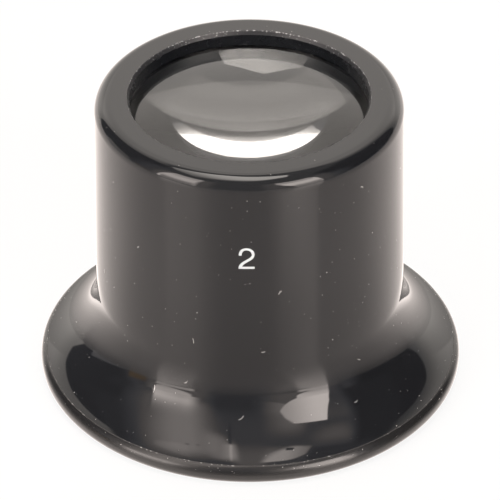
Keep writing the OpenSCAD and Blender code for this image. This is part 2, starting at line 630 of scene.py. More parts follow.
@dataclass
class Lens:
    """The biconvex lens: two equal faces and a ground, bevelled edge."""

    diameter: float = 24 * MM
    curve: float = 47 * MM
    bevel: float = 0.15 * MM
    band: float = 0.3
    steps: int = 256

    def __post_init__(self) -> None:
        """Reads the heights of the lens from the frame."""
        low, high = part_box("lens")
        self.back_vertex = low.z
        self.front_vertex = high.z
        self.radius = self.diameter / 2

    def sag(self, radius: float) -> float:
        """Drop of a face at a radius from its vertex."""
        return self.curve - math.sqrt(self.curve**2 - radius**2)

    def section(self) -> Section:
        """Draws the lens from its back vertex round its edge to its front vertex."""
        foot = self.back_vertex + self.sag(self.radius)
        top = self.front_vertex - self.sag(self.radius)
        inner = self.radius - self.bevel
        slope = inner / math.sqrt(self.curve**2 - inner**2)
        meet = inner - (self.sag(self.radius) - self.sag(inner)) / (1 - slope)
        spread = math.degrees(math.asin(meet / self.curve))
        section = Section((0.0, self.back_vertex), LensZone.POLISHED)
        section.arc((0.0, self.back_vertex + self.curve), self.curve, 270, 270 + spread, self.band)
        section.finish(LensZone.GROUND).line(self.radius, foot + self.bevel)
        section.line(self.radius, top - self.bevel)
        section.line(meet, self.front_vertex - self.sag(meet))
        section.finish(LensZone.POLISHED)
        section.arc((0.0, self.front_vertex - self.curve), self.curve, 90 - spread, 90, self.band)
        return section

    def build(self) -> None:
        """Builds the lens and lets it ride on its body."""
        materials = [OpticalGlass().material(), GROUND_GLASS.material()]
        piece = turn_section("ground_lens", self.section(), materials, self.steps)
        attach(piece, "lens")
        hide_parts("lens")
        log.info("%s: %.1f mm across, %.2f mm thick", piece.name, self.diameter / MM,
                 (self.front_vertex - self.back_vertex) / MM)


@dataclass
class MouldedBody:
    """The one-piece body: barrel, flare, rim, hollow, thread, seat and opening."""

    barrel_d: float = 28 * MM
    draft: float = 0.98
    top_round: float = 1.45 * MM
    wall: float = 1.3 * MM
    flare_turn: float = 68
    lip_h: float = 2.0 * MM
    lip_r: float = 0.95 * MM
    crease_turn: float = 6
    foot_w: float = 2.2 * MM
    mouth_round: float = 0.4 * MM
    aperture_d: float = 21.7 * MM
    shoulder_h: float = 1.5 * MM
    edge_break: float = 0.2 * MM
    # Share of the cut edge, from its outer side, that is painted pale as a glint.
    edge_depth: float = 0.4 * MM
    glint_share: float = 0.2
    seat_d: float = 24.2 * MM
    crest_d: float = 24.5 * MM
    thread_h: float = 0.4 * MM
    thread_top: float = 26.712 * MM
    pitch: float = 0.75 * MM
    groove_lead: float = 0.285 * MM
    groove_turns: float = 4.01
    groove_crest_half: float = 0.243 * MM
    flank: float = 0.41
    thread_rows: int = 92
    steps: int = 256

    def __post_init__(self) -> None:
        """Works out the rest of the section from the driving sizes and the frame."""
        low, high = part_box("loupe_body")
        self.height = high.z
        self.rim_r = (high.x - low.x) / 2
        self.ring_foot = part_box("retaining_ring")[0].z
        self.groove_start = self.ring_foot - self.groove_lead
        self.lip_x = self.rim_r - self.lip_r
        self.lip_z = self.lip_h - self.lip_r
        self.slope = math.tan(math.radians(self.draft))
        barrel_run, barrel_rise = polar(1.0, self.draft)
        flare_run, flare_rise = polar(1.0, self.flare_turn)
        drop = self.height - self.lip_z - self.lip_r * flare_rise
        reach = self.lip_x + self.lip_r * flare_run - self.slope * drop
        gain = barrel_run - flare_run - self.slope * (flare_rise - barrel_rise)
        self.flare_r = (reach - self.barrel_d / 2) / gain
        self.flare_x = self.lip_x + (self.lip_r + self.flare_r) * flare_run
        self.flare_z = self.lip_z + (self.lip_r + self.flare_r) * flare_rise
        self.crease_z = self.lip_z + self.lip_r * flare_rise

    def barrel_at(self, height: float) -> float:
        """Radius of the drafted barrel at a height."""
        return self.barrel_d / 2 + (self.height - height) * self.slope

    def skin(self, turn: float, height: float) -> tuple[Vector, Vector]:
        """Finds a place on the outer surface.

        Args:
            turn: Angle from the side with the numeral, in degrees, positive to the right as seen from there.
            height: Height above the foot.

        Returns:
            The point and the outward normal there.
        """
        if height > self.flare_z:
            radius = self.barrel_at(height)
            run, rise = polar(1.0, self.draft)
        elif height < self.crease_z:
            rise = max(height - self.lip_z, 0.0) / self.lip_r
            run = math.sqrt(1 - rise**2)
            radius = self.lip_x + self.lip_r * run
        else:
            rise = (self.flare_z - height) / self.flare_r
            run = math.sqrt(1 - rise**2)
            radius = self.flare_x - self.flare_r * run
        sine, cosine = math.sin(math.radians(turn)), -math.cos(math.radians(turn))
        return Vector((radius * sine, radius * cosine, height)), Vector((run * sine, run * cosine, rise))

    def groove(self, angle: float, height: float) -> float:
        """Finds the depth of the internal thread.

        Args:
            angle: Angle round the axis, in radians.
            height: Height above the foot.

        Returns:
            The depth, which fades out over the last quarter turn at each end.
        """
        share = angle / (2 * math.pi)
        turn = (height - self.groove_start) / self.pitch - share
        centre = min(max(round(turn), 0), math.floor(self.groove_turns))
        along = centre + share
        off = abs(turn - centre) * self.pitch
        fade = min(1.0, along * 4 + 0.04, max(0.0, (self.groove_turns - along) * 4 + 0.04))
        depth = min(max((self.groove_crest_half - off) / self.flank, 0.0), self.thread_h)
        return min(depth, self.thread_h * fade)

    def section(self) -> tuple[Section, range]:
        """Draws the body's section.

        Returns:
            The section, and the numbers of the bands that carry the thread.
        """
        lean = self.draft
        top_z = self.height - self.top_round
        top_x = self.barrel_at(top_z) - self.top_round / math.cos(math.radians(lean))
        top_run, top_rise = polar(self.top_round, lean)
        aperture_r = self.aperture_d / 2
        shoulder_z = self.height - self.shoulder_h
        seat_r, crest_r = self.seat_d / 2, self.crest_d / 2
        hollow_r = self.flare_r + self.wall
        hollow_run, hollow_rise = polar(hollow_r, lean)
        mouth_r = self.rim_r - self.foot_w
        mouth_turn = math.degrees(math.acos((self.flare_x - mouth_r) / hollow_r))
        flare, lip = (self.flare_x, self.flare_z), (self.lip_x, self.lip_z)
        crease = self.flare_turn - self.crease_turn
        section = Section((mouth_r, self.mouth_round), BodyZone.POLISHED)
        section.arc((mouth_r + self.mouth_round, self.mouth_round), self.mouth_round, 180, 270, 10)
        section.line(self.lip_x, 0.0)
        section.finish(BodyZone.LIP).arc((self.lip_x, self.lip_r), self.lip_r, 270, 360, 4)
        section.line(self.rim_r, self.lip_z).arc(lip, self.lip_r, 0, crease, 4)
        # The crease band: a painted highlight line, with dust on it.
        section.finish(BodyZone.CREASE).arc(lip, self.lip_r, crease, self.flare_turn, 2)
        section.finish(BodyZone.POLISHED)
        section.arc(flare, self.flare_r, 180 + self.flare_turn, 180 + lean, 1.5)
        section.line(top_x + top_run, top_z + top_rise, 12)
        section.arc((top_x, top_z), self.top_round, lean, 90, 3)
        section.line(aperture_r + self.edge_break, self.height, 2)
        # The outer share of the cut edge is painted pale, as the glint where it catches light.
        glint_r = aperture_r + (1 - self.glint_share) * self.edge_break
        section.finish(BodyZone.TORN_EDGE).line(glint_r, self.height - self.glint_share * self.edge_depth)
        section.finish(BodyZone.CUT_EDGE).line(aperture_r, self.height - self.edge_depth, 2)
        section.finish(BodyZone.BORE).line(aperture_r, shoulder_z, 2)
        section.line(seat_r, shoulder_z)
        section.line(seat_r, self.thread_top, 2)
        section.line(crest_r, self.thread_top)
        first = len(section.bands)
        section.line(crest_r, self.ring_foot, self.thread_rows)
        thread = range(first, len(section.bands))
        section.finish(BodyZone.INSIDE).line(self.barrel_at(self.ring_foot) - self.wall, self.ring_foot)
        section.line(self.flare_x - hollow_run, self.flare_z - hollow_rise, 8)
        section.arc(flare, hollow_r, 180 + lean, 180 + mouth_turn, 3)
        section.line(mouth_r, self.mouth_round)
        return section, thread

    def build(self) -> None:
        """Builds the body and lets it ride on its CAD body."""
        section, thread = self.section()
        materials = [BODY_FINISHES[zone].material() for zone in BodyZone]
        piece = turn_section("moulded_body", section, materials, self.steps, self.groove, thread)
        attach(piece, "body")
        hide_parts("loupe_body")
        log.info("%s: barrel %.1f mm, rim %.1f mm, height %.1f mm", piece.name, self.barrel_d / MM,
                 2 * self.rim_r / MM, self.height / MM)


@dataclass
class RetainingRing:
    """The threaded ring, which keeps its CAD shape."""

    finish: Finish = TurnedPlastic("satin_ring_plastic", (0.02, 0.02, 0.021), roughness=0.34,
                                   ring_pitch=0.2 * MM)

    def dress(self) -> None:
        """Gives the CAD ring its finish."""
        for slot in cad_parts["retaining_ring"].material_slots:
            slot.material = self.finish.material()
        log.info("retaining_ring: dressed")


@dataclass
class Numeral:
    """The plain figure two, printed on the barrel."""

    body: MouldedBody
    size: float = 2.2 * MM
    centre_x: float = -0.3 * MM
    centre_z: float = 21.3 * MM
    ink: float = 0.012 * MM
    sunk: float = 0.2
    middle: Point2 = (0.345, 0.5)
    cut_width: float = 0.7
    cuts: int = 10
    curve_steps: int = 10

    def outline(self) -> list[Point2]:
        """Draws the figure, 1 high, by straight strokes with one point and cubic curves with three.

        Returns:
            The outline's points.
        """
        strokes = (
            ((0.67, 0.00),),
            ((0.67, 0.10),),
            ((0.17, 0.10),),
            ((0.20, 0.21), (0.31, 0.28), (0.45, 0.375)),
            ((0.59, 0.46), (0.67, 0.55), (0.67, 0.69)),
            ((0.67, 0.88), (0.53, 1.00), (0.355, 1.00)),
            ((0.14, 1.00), (0.03, 0.86), (0.035, 0.64)),
            ((0.15, 0.64),),
            ((0.15, 0.80), (0.22, 0.90), (0.35, 0.90)),
            ((0.465, 0.90), (0.555, 0.815), (0.555, 0.69)),
            ((0.555, 0.595), (0.485, 0.53), (0.355, 0.445)),
            ((0.14, 0.31), (0.03, 0.21), (0.02, 0.00)),
        )
        points: list[Point2] = [strokes[-1][-1]]
        for stroke in strokes:
            if len(stroke) == 1:
                points.append(stroke[0])
                continue
            hull = (points[-1], *stroke)
            for t in (k / self.curve_steps for k in range(1, self.curve_steps + 1)):
                weights = ((1 - t) ** 3, 3 * t * (1 - t) ** 2, 3 * t**2 * (1 - t), t**3)
                points.append(tuple(sum(w * p[i] for w, p in zip(weights, hull)) for i in (0, 1)))
        return points[:-1]

    def build(self) -> None:
        """Builds the figure as a thin print that follows the barrel."""
        work = bmesh.new()
        points = [((x - self.middle[0]) * self.size, (z - self.middle[1]) * self.size)
                  for x, z in self.outline()]
        corners = [work.verts.new((x, 0.0, z)) for x, z in points]
        for triangle in tessellate_polygon([[corner.co for corner in corners]]):
            work.faces.new([corners[k] for k in triangle])
        for k in range(1, self.cuts):
            place = (k / self.cuts - 0.5) * self.cut_width * self.size
            bmesh.ops.bisect_plane(work, geom=work.verts[:] + work.edges[:] + work.faces[:],
                                   plane_co=(place, 0, 0), plane_no=(1, 0, 0))
        grown = bmesh.ops.extrude_face_region(work, geom=work.faces[:])["geom"]
        lifted = {v for v in grown if isinstance(v, bmesh.types.BMVert)}
        for vertex in work.verts:
            x, z = vertex.co.x + self.centre_x, vertex.co.z + self.centre_z
            point, normal = self.body.skin(math.degrees(x / self.body.barrel_at(z)), z)
            vertex.co = point + normal * (self.ink if vertex in lifted else -self.sunk * self.ink)
        bmesh.ops.recalc_face_normals(work, faces=work.faces[:])
        piece = add_built("printed_numeral", work, WHITE_INK.material())
        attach(piece, "body")
        log.info("%s: %.1f mm tall", piece.name, self.size / MM)


@dataclass
class Dust:
    """Flecks and short fibres that lie on the polished surface."""

    body: MouldedBody
    flecks: int = 240
    fleck_heights: Point2 = (2.6 * MM, 27.5 * MM)
    lip_flecks: int = 170
    lip_heights: Point2 = (1.4 * MM, 2.5 * MM)
    fleck_sizes: Point2 = (0.05 * MM, 0.16 * MM)
    fleck_corners: int = 6
    fibres: int = 24
    fibre_heights: Point2 = (3.5 * MM, 26 * MM)
    fibre_lengths: Point2 = (0.25 * MM, 0.7 * MM)
    fibre_curl: float = 2.6
    fibre_pieces: int = 8
    half_width: float = 0.02 * MM
    seed: int = 11

    def fleck(self, work: bmesh.types.BMesh, place: Vector, normal: Vector, size: float, turn: float) -> None:
        """Adds a low, uneven flake.

        Args:
            work: Mesh that takes it.
            place: Where it lies.
            normal: Direction that it faces.
            size: Its width.
            turn: How far it is turned about the normal, in radians.
        """
        side = normal.orthogonal().normalized()
        up = 0.6 * normal.cross(side)
        rim = []
        for k in range(self.fleck_corners):
            angle = turn + 2 * math.pi * k / self.fleck_corners
            reach = size * (0.35 + 0.15 * math.sin(3.1 * k + turn * 7))
            rim.append(work.verts.new(place + reach * (math.cos(angle) * side + math.sin(angle) * up)))
        peak = work.verts.new(place + normal * 0.25 * size)
        for a, b in zip(rim, rim[1:] + rim[:1]):
            work.faces.new((a, b, peak))

    def fibre(self, work: bmesh.types.BMesh, turn: float, height: float, draw: random.Random) -> None:
        """Adds a short curled fibre that lies on the skin.

        Args:
            work: Mesh that takes it.
            turn: Angle of its start from the numeral's side, in degrees.
            height: Height of its start.
            draw: Source of chance.
        """
        length = draw.uniform(*self.fibre_lengths)
        heading = draw.uniform(0, 2 * math.pi)
        curl = draw.uniform(-self.fibre_curl, self.fibre_curl)
        radius = self.body.skin(turn, height)[0].xy.length
        spot = Vector((0.0, 0.0))
        rings = []
        for k in range(self.fibre_pieces + 1):
            way = heading + curl * k / self.fibre_pieces
            spot += Vector((math.cos(way), math.sin(way))) * length / self.fibre_pieces
            point, normal = self.body.skin(turn + math.degrees(spot.x / radius), height + spot.y)
            across = Vector((-math.sin(way), 0.0, math.cos(way)))
            across = (across - normal * across.dot(normal)).normalized()
            reach = self.half_width * (1.0 if 0 < k < self.fibre_pieces else 0.4)
            sides = (point + across * reach, point + normal * 1.2 * reach, point - across * reach)
            rings.append([work.verts.new(side) for side in sides])
        for first, last in zip(rings, rings[1:]):
            for i in range(2):
                work.faces.new((first[i], first[i + 1], last[i + 1], last[i]))

    def build(self) -> None:
        """Scatters the dust all round, and more of it along the lip."""
        draw = random.Random(self.seed)
        work = bmesh.new()
        smallest, largest = self.fleck_sizes
        for number in range(self.flecks + self.lip_flecks):
            heights = self.fleck_heights if number < self.flecks else self.lip_heights
            place, normal = self.body.skin(draw.uniform(0, 360), draw.uniform(*heights))
            size = smallest + (largest - smallest) * draw.random() ** 2
            self.fleck(work, place, normal, size, draw.uniform(0, 6))
        for _ in range(self.fibres):
            self.fibre(work, draw.uniform(0, 360), draw.uniform(*self.fibre_heights), draw)
        bmesh.ops.recalc_face_normals(work, faces=work.faces[:])
        piece = add_built("dust", work, PALE_LINT.material())
        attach(piece, "body")
        log.info("%s: %d flecks and %d fibres", piece.name, self.flecks + self.lip_flecks, self.fibres)


def direction(azimuth: float, elevation: float) -> Vector:
    """Unit vector by degrees from the camera's side, positive to its right, and degrees above the table."""
    out, up = polar(1.0, elevation)
    back, right = polar(out, azimuth)
    return Vector((right, -back, up))


@dataclass(frozen=True)
class Patch:
    """A convex area of light with soft edges.

    Its corners are in the measure of what carries it: azimuth and elevation in degrees on a dome, azimuth
    in degrees and radius in millimetres on a level sheet, and parts of the unit vector overhead. The soft
    margin is one for all edges, or one for each, where the first edge runs from the first corner to the
    second. A fade takes the level down to its least share, from its first point to its second.
    """

    corners: tuple[Point2, ...]
    level: float
    soft: float | tuple[float, ...] = 1.0
    adds: bool = False
    fade: tuple[Point2, Point2] | None = None
    least: float = 0.0

    def mask(self, shader: Shader, spot: Socket) -> Value:
        """Finds how far a spot is inside.

        Args:
            shader: Shader of what carries the area.
            spot: The spot, in the corners' measure.

        Returns:
            1 inside and 0 outside.
        """
        edges = list(zip(self.corners, self.corners[1:] + self.corners[:1]))
        side = math.copysign(1.0, sum(a[0] * b[1] - b[0] * a[1] for a, b in edges))
        softs = self.soft if isinstance(self.soft, tuple) else (self.soft,) * len(edges)
        mask: Number = 1.0
        for (first, last), soft in zip(edges, softs):
            length = math.dist(first, last)
            inward = (side * (first[1] - last[1]) / length, side * (last[0] - first[0]) / length)
            start = inward[0] * first[0] + inward[1] * first[1]
            mask = shader.along(spot, inward).step(start - soft, start + soft) * mask
        return mask

    def over(self, shader: Shader, spot: Socket, under: Number) -> Value:
        """Paints the area over what is there already.

        Args:
            shader: Shader of what carries the area.
            spot: The spot, in the corners' measure.
            under: Light that is there already.

        Returns:
            The light with the area on it.
        """
        light: Number = self.level
        if self.fade:
            full, end = self.fade
            length = math.dist(full, end)
            way = ((end[0] - full[0]) / length, (end[1] - full[1]) / length)
            start = way[0] * full[0] + way[1] * full[1]
            faded = shader.along(spot, way).step(start, start + length)
            light = self.level - self.level * (1 - self.least) * faded
        mask = self.mask(shader, spot)
        return mask * light + under if self.adds else mask * (light - under) + under


def box(azimuth: Point2, span: Point2, level: float, soft: tuple[float, float, float, float],
        adds: bool = False) -> Patch:
    """Makes an area with four edges.

    Args:
        azimuth: Its left and right edges.
        span: Its lower and upper edges.
        level: Its light.
        soft: Soft margins of its left, right, lower and upper edges.
        adds: Whether it adds to the light under it.

    Returns:
        The area.
    """
    (left, right), (low, high) = azimuth, span
    corners = ((left, low), (right, low), (right, high), (left, high))
    return Patch(corners, level, (soft[2], soft[1], soft[3], soft[0]), adds)


@dataclass(frozen=True)
class Sheet:
    """A painted sheet of the studio, which the gloss mirrors and the camera doesn't see.

    A dome sheet stands at its distance round the loupe. A level sheet lies at its height, and only gloss sees
    it. Of the outline, only the shape counts.
    """

    name: str
    outline: Patch
    base: float
    paint: tuple[Patch, ...] = ()
    distance: float = 0.6
    height: float | None = None
    tint: Colour | None = None
    uneven: float = 0.16
    cloud_size: float = 1 / 12
    grain: int = 24

    def reach(self) -> tuple[float, float, float, float]:
        """Least and greatest azimuth, and least and greatest elevation or radius, with the soft margins."""
        margin = max(self.outline.soft) if isinstance(self.outline.soft, tuple) else self.outline.soft
        first, second = zip(*self.outline.corners)
        return min(first) - margin, max(first) + margin, min(second) - margin, max(second) + margin

    def mesh(self) -> bpy.types.Mesh:
        """Builds the sheet's mesh, as large as its outline needs."""
        left, right, low, high = self.reach()
        points = []
        for i in range(self.grain + 1):
            along = low + (high - low) * i / self.grain
            for j in range(self.grain + 1):
                turn = left + (right - left) * j / self.grain
                if self.height is None:
                    points.append(direction(turn, along) * self.distance)
                else:
                    points.append(direction(turn, 0.0) * along * MM + Vector((0.0, 0.0, self.height)))
        wide = self.grain + 1
        starts = [i * wide + j for i in range(self.grain) for j in range(self.grain)]
        mesh = bpy.data.meshes.new(self.name)
        mesh.from_pydata(points, [], [(k, k + 1, k + wide + 1, k + wide) for k in starts])
        return mesh

    def shade(self, shader: Shader) -> None:
        """Paints the sheet inside its outline and leaves the rest clear."""
        place = shader.place()
        x, y, z = shader.parts(place)
        radius = x.hypot(y)
        along = z.turn(radius) if self.height is None else radius * (1 / MM)
        spot = shader.vector(x.turn(0 - y), along, 0.0)
        level: Number = self.base
        for patch in self.paint:
            level = patch.over(shader, spot, level)
        clouds = shader.noise(place, self.cloud_size)
        level = level * (1 + self.uneven * (clouds - 0.5))
        clear = shader.node("ShaderNodeBsdfTransparent").outputs[0]
        light = (shader.light(level), 1.0) if self.tint is None else (self.tint, self.base)
        shader.surface(shader.choose(self.outline.mask(shader, spot), clear, shader.emission(*light)))

    def build(self) -> None:
        """Builds the sheet."""
        material, shader = new_material(self.name)
        self.shade(shader)
        sheet = add_object(self.name, self.mesh(), material)
        sheet.visible_camera = False
        sheet.visible_shadow = False
        if self.height is not None:
            material.cycles.emission_sampling = "NONE"
            sheet.visible_diffuse = False
            sheet.visible_transmission = False


# Heights of the level sheets, one just under the other.
SHADE_HEIGHT = 28.2 * MM
CANOPY_HEIGHT = 28.3 * MM

LEFT_LAMP = Sheet(
    "left_lamp",
    box((-70, -27), (-1, 47), 1.0, (3, 5, 0.5, 3)),
    0.95,
    (
        Patch(((-65.5, 3.5), (-57, -1), (-37.5, -1), (-37.5, 46), (-63, 43)), 6.7, (0.6, 0.6, 2.5, 2.0, 0.8)),
        box((-63, -38), (2.4, 17), 2.3, (1, 3, 0.7, 8)),
        box((-63, -38), (-9, 2.4), 3.9, (1, 3, 1, 0.7)),
        box((-63, -38), (36, 60), 5.0, (1, 3, 4, 1)),
    ),
)

RIGHT_LAMP = Sheet(
    "right_lamp",
    Patch(((12, -1), (62, -1), (60, 45), (10, 45)), 1.0, (0.5, 6, 2, 6)),
    0.85,
    (
        Patch(((30, -1), (51, -1), (50, 39), (47, 42.5), (20, 42.5), (18.5, 33), (24, 24)), 8.4,
              (0.5, 0.6, 1.0, 3.0, 3.0, 1.0, 2.0)),
        box((31, 50.5), (2.4, 17), 2.9, (2, 1, 0.7, 8)),
        box((31, 50.5), (-9, 2.4), 5.2, (2, 1, 1, 0.7)),
        Patch(((20, 34), (49, 34), (47, 60), (20, 60)), 5.0, (4, 1, 1, 1)),
    ),
)

LEFT_FLAG = Sheet(
    "left_flag",
    Patch(((-126.5, 0.4), (-72, 0.4), (-76, 60), (-112, 62), (-119, 54), (-128, 37), (-132, 22), (-132, 9)),
          1.0, (0.8, 6.0, 3.0, 1.5, 0.8, 0.8, 0.7, 0.7)),
    0.15,
    (
        box((-84, -60), (-5, 70), 0.5, (9, 1, 3, 3)),
        Patch(((-117, -3), (-86, -3), (-86, 0.4), (-117, 4.6)), 0.7, 0.8),
    ),
)

RIGHT_FLAG = Sheet(
    "right_flag",
    Patch(((58, 0.2), (118, -1), (122, 8), (124, 24), (124, 36), (118, 47), (113, 60), (64, 60)), 1.0,
          (0.8, 0.8, 1.0, 1.0, 1.0, 1.2, 4.0, 4.0)),
    0.09,
    (box((50, 70), (-5, 32), 0.4, (1, 7, 1, 12), adds=True),),
)

WOODEN_BLOCK = Sheet(
    "wooden_block",
    Patch(((-84, -0.6), (-70, -0.6), (-71, 4.6), (-84, 5.6)), 1.0, (0.4, 1.2, 0.5, 0.4)),
    0.55,
    distance=0.55,
    tint=(1.5, 1.0, 0.52),
)

# The rounded top mirrors this board. The shade under it hides it from the flare.
LEFT_BOARD = Sheet(
    "left_board",
    box((-106, -84), (20.8, 26.5), 1.1, (3, 3, 0.2, 2.2)),
    1.0,
    distance=0.08,
)

LEFT_SHADE = Sheet(
    "left_shade",
    box((-110, -80), (56, 82), 1.0, (1, 2, 1, 1)),
    0.15,
    height=SHADE_HEIGHT,
)

FAR_CANOPY = Sheet(
    "far_canopy",
    Patch(((-66, 150), (60, 150), (60, 650), (-66, 650)), 1.0, 0.5),
    0.3,
    (
        box((11, 40), (100, 700), 0.85, (13, 1, 1, 1), adds=True),
        box((-70, -27), (100, 700), 0.9, (1, 10, 1, 1), adds=True),
        box((44, 57), (100, 700), 0.3, (1, 4, 1, 1), adds=True),
        Patch(((-61.4, 130), (-33.5, 130), (-36.8, 190), (-37.5, 700), (-56, 700), (-62.4, 340),
               (-62.6, 190)), 5.9, (1, 3.0, 1.2, 1, 1, 0.8, 1.0), fade=((0, 120), (0, 520)), least=0.66),
        Patch(((26.4, 130), (49.4, 130), (50.8, 320), (51.2, 700), (30, 700), (28.8, 210)), 7.8,
              (1, 0.8, 1.4, 1, 0.6, 0.9), fade=((0, 120), (0, 420)), least=0.66),
    ),
    height=CANOPY_HEIGHT,
)

CANOPY = Sheet(
    "canopy",
    Patch(((-72, 15), (72, 15), (86, 33), (90, 46), (90, 150), (-92, 150), (-92, 44), (-86, 33)), 1.0,
          (0.4, 3.0, 3.0, 3.0, 0.5, 3.0, 2.0, 2.0)),
    0.3,
    (
        box((-110, 110), (5, 60), 0.28, (5, 5, 2, 27), adds=True),
        box((-9, 10), (10, 25.5), 0.62, (5, 5, 1, 4.5), adds=True),
        # Soft glow from the left, and the lamp that it grows into.
        Patch(((-53, 21.2), (-20, 21.2), (-21, 34), (-30, 100), (-58, 100)), 2.35, (4, 14, 13, 24, 14),
              adds=True),
        Patch(((-56, 24.4), (-37, 19.2), (-34, 24), (-40, 26.8), (-54, 26.8)), 0.45, (0.5, 4, 3, 0.6, 1),
              adds=True),
        Patch(((-59.5, 78), (-34, 78), (-34, 160), (-63, 160)), 7.0, (33, 5, 1, 1.2),
              fade=((-60, 0), (-36, 0)), least=0.72, adds=True),
        box((-40, -27), (62, 160), 0.75, (4, 9, 20, 1), adds=True),
        box((-36.2, -34.2), (26.2, 27.0), 1.55, (0.8, 0.8, 0.3, 0.3)),
        box((-30.0, -28.2), (26.2, 27.0), 1.5, (0.8, 0.8, 0.3, 0.3)),
        box((-23.0, -21.4), (26.2, 27.0), 1.4, (0.8, 0.8, 0.3, 0.3)),
        # Fan beside the middle, with its bright core and the dark line over it.
        Patch(((-22, 19.5), (-7.5, 18), (-8, 28), (-12, 31.5), (-23, 36), (-26, 28)), 1.6,
              (1.5, 3.4, 3.0, 4.5, 7, 6), adds=True),
        Patch(((-15, 20), (-8, 20), (-8.6, 28), (-14, 28)), 1.5, (1.5, 2.4, 0.8, 4), adds=True),
        Patch(((-12.4, 18.5), (-11, 18.5), (-10.2, 27.6), (-11.6, 27.6)), 1.8, 0.6, adds=True),
        box((-12.2, -10.4), (28.4, 46), 0.38, (0.5, 0.5, 0.4, 9)),
        # Mirror patch to the right of the middle, with its notch.
        Patch(((7, 20), (24, 20), (25, 26), (9, 26)), 0.6, (1, 3, 1.5, 3), adds=True),
        Patch(((6.5, 17.6), (20, 18.2), (26, 19.0), (32, 21.2), (34, 25.2), (25, 26.3), (14, 24.0),
               (8, 20.5)), 4.6, (0.4, 0.5, 0.5, 1.0, 1.0, 1.2, 3.0, 3.0), fade=((18, 0), (34, 0)), least=0.5),
        box((19.5, 24.0), (24.0, 25.3), 0.35, (0.6, 0.6, 0.25, 0.25)),
        # The right side: dark near the barrel, grey further out, then the lamp.
        box((34, 110), (15, 24.5), 0.34, (3, 1, 2, 1)),
        Patch(((36, 27.5), (57, 27.5), (53, 37), (38, 36)), 0.62, (3.5, 5, 5, 8), adds=True),
        Patch(((13, 36), (29, 37), (29, 60), (14, 120)), 1.15, (8, 5, 1, 10), adds=True),
        box((44, 57), (44, 700), 0.25, (1, 4, 6, 1), adds=True),
        box((11, 40), (60, 200), 0.85, (13, 1, 14, 1), adds=True),
        Patch(((27, 140), (16.6, 66), (19.2, 50.5), (24, 42.8), (42.8, 42.8), (47.1, 80), (49.2, 140),
               (49.3, 190), (34, 190)), 9.3, (0.6, 1.0, 1.2, 0.5, 0.4, 0.4, 0.5, 1, 1),
              fade=((42, 0), (15, 0)), least=0.52),
        box((59, 130), (24, 160), 0.14, (4, 1, 2, 1)),
        Patch(((-130, 24), (-68, 24), (-73, 160), (-130, 160)), 0.21, (2, 8, 1, 1)),
        box((-75, -61), (50, 160), 0.4, (8, 1.5, 20, 1), adds=True),
    ),
    height=CANOPY_HEIGHT,
    grain=48,
)


@dataclass(frozen=True)
class Pool:
    """A part of the light that the table gives back under its gloss.

    Each pair of numbers is a stretch over which the pool comes in. Radii are in millimetres from the axis,
    turns in degrees from the camera's side, positive to its right, and aside is the turn without its sign.
    """

    level: float
    radius: Point2 | None = None
    aside: Point2 | None = None
    turns: tuple[Point2, ...] = ()

    def light(self, radius: Value, turn: Value) -> Number:
        """Finds the pool's light at a spot.

        Args:
            radius: The spot's distance from the axis, in millimetres.
            turn: The spot's turn.

        Returns:
            The light.
        """
        light: Number = self.level
        if self.radius:
            light = light * radius.step(*self.radius)
        if self.aside:
            light = light * abs(turn).step(*self.aside)
        for stretch in self.turns:
            light = light * turn.step(*stretch)
        return light


